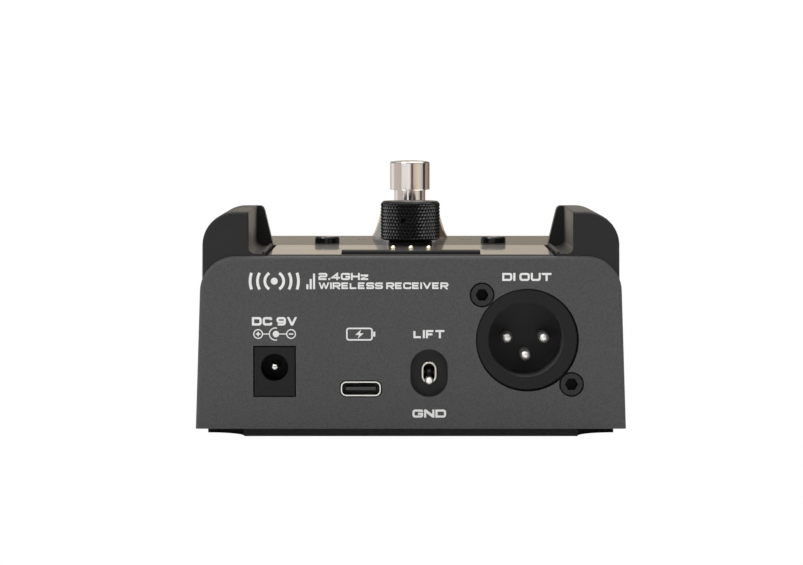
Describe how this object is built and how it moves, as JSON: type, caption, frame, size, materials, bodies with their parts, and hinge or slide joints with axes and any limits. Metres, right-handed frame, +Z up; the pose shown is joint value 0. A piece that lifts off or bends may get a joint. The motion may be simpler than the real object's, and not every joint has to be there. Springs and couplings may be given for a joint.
{
  "type": "wireless guitar receiver and charging dock",
  "caption": "Floor receiver of a wireless guitar system with a transmitter charging dock on top, a footswitch, a level knob, buttons and a rear connector panel.",
  "frame": {"origin": "on the ground plane under the middle of the housing", "axes": "+Z up, -Y towards the viewer of the connector panel, +X to the right when looking at the connector panel"},
  "size_m": [0.0988, 0.1182, 0.0604],
  "materials": {
    "housing_paint": "fine textured dark grey powder paint",
    "steel_plate": "black zinc plated steel",
    "base_rubber": "matt, fine grain",
    "black_screw": "black oxide",
    "guard_plastic": "fine spark-eroded texture",
    "plate_coating": "satin bronze-grey top coat",
    "face_coating": "glossy dark front plate",
    "contact_plastic": "moulded black plastic",
    "gold_plate": "gold plated",
    "pcb": "green solder mask",
    "flat_cable": "white flat cable",
    "component_black": "moulded black",
    "tinned_steel": "tin plated",
    "knob_black": "diamond knurled, satin",
    "button_black": "glossy black",
    "lens_smoke": "smoked, clear",
    "chrome": "bright nickel-chrome plate",
    "socket_plastic": "moulded black plastic",
    "spring_steel": "drawn wire",
    "wire_insulation": "coaxial lead jacket",
    "aerial_copper": "copper strip"
  },
  "bodies": {
    "housing": {"enclosure": "housing_paint", "bottom_plate": "steel_plate", "rubber_base": "base_rubber", "bottom_screws": "black_screw", "left_guard": "guard_plastic", "right_guard": "guard_plastic", "guard_screws": "tinned_steel", "aerials": "aerial_copper", "dock_plate": "plate_coating", "face_plate": "face_coating", "contact_block": "contact_plastic", "contact_board": "pcb", "contact_barrels": "gold_plate", "contact_ribbon": "flat_cable", "level_pot_body": "tinned_steel", "level_pot_nut": "black_screw", "tactile_switches": "component_black", "indicator_lenses": "lens_smoke", "footswitch_skirt": "chrome", "footswitch_body": "component_black", "footswitch_nut": "chrome", "footswitch_washer": "tinned_steel", "footswitch_spring": "spring_steel", "toggle_body": "component_black", "toggle_frame": "chrome", "xlr_shell": "socket_plastic", "xlr_insert": "socket_plastic", "xlr_pins": "tinned_steel", "xlr_screws": "black_screw", "dc_jack_body": "socket_plastic", "dc_jack_pin": "tinned_steel", "usb_shell": "tinned_steel", "usb_tongue": "socket_plastic", "output_jack_body": "component_black", "output_jack_bushing": "chrome", "output_jack_washer": "tinned_steel", "output_jack_nut": "chrome", "output_jack_contact": "tinned_steel", "main_board": "pcb", "board_standoffs": "tinned_steel", "board_screws": "tinned_steel", "control_board": "pcb", "control_board_screws": "tinned_steel", "board_link_socket": "component_black", "board_link_header": "component_black", "radio_module": "tinned_steel", "board_parts": "component_black", "aerial_leads": "wire_insulation"},
    "footswitch_button": {"footswitch_cap": "chrome", "footswitch_plunger": "chrome"},
    "level_knob": {"level_knob": "knob_black", "knob_set_screw": "black_screw", "level_pot_shaft": "tinned_steel"},
    "left_button": {"left_button": "button_black"},
    "right_button": {"right_button": "button_black"},
    "toggle_lever": {"toggle_lever": "chrome"},
    "contact_pin_left": {"contact_pin_left": "gold_plate"},
    "contact_pin_middle": {"contact_pin_middle": "gold_plate"},
    "contact_pin_right": {"contact_pin_right": "gold_plate"}
  },
  "joints": [
    {"name": "footswitch_press", "type": "slide", "parent": "housing", "child": "footswitch_button", "axis": [0, 0, -1], "range_m": [0, 0.003], "stiffness_N_per_m": 3000, "springref_m": -0.004, "deforming": ["footswitch_spring"]},
    {"name": "level_turn", "type": "hinge", "parent": "housing", "child": "level_knob", "pos_m": [0, -0.008, 0.045], "axis": [0, 0, 1], "range_deg": [-150, 150]},
    {"name": "left_button_press", "type": "slide", "parent": "housing", "child": "left_button", "axis": [0, 0, -1], "range_m": [0, 0.0005], "stiffness_N_per_m": 2500, "springref_m": -0.0004},
    {"name": "right_button_press", "type": "slide", "parent": "housing", "child": "right_button", "axis": [0, 0, -1], "range_m": [0, 0.0005], "stiffness_N_per_m": 2500, "springref_m": -0.0004},
    {"name": "ground_lift_flip", "type": "hinge", "parent": "housing", "child": "toggle_lever", "pos_m": [0.00408, -0.0549, 0.01427], "axis": [-1, 0, 0], "range_deg": [0, 54]},
    {"name": "contact_pin_left_press", "type": "slide", "parent": "housing", "child": "contact_pin_left", "axis": [0, 0, -1], "range_m": [0, 0.0009], "stiffness_N_per_m": 500, "springref_m": -0.001},
    {"name": "contact_pin_middle_press", "type": "slide", "parent": "housing", "child": "contact_pin_middle", "axis": [0, 0, -1], "range_m": [0, 0.0009], "stiffness_N_per_m": 500, "springref_m": -0.001},
    {"name": "contact_pin_right_press", "type": "slide", "parent": "housing", "child": "contact_pin_right", "axis": [0, 0, -1], "range_m": [0, 0.0009], "stiffness_N_per_m": 500, "springref_m": -0.001}
  ]
}
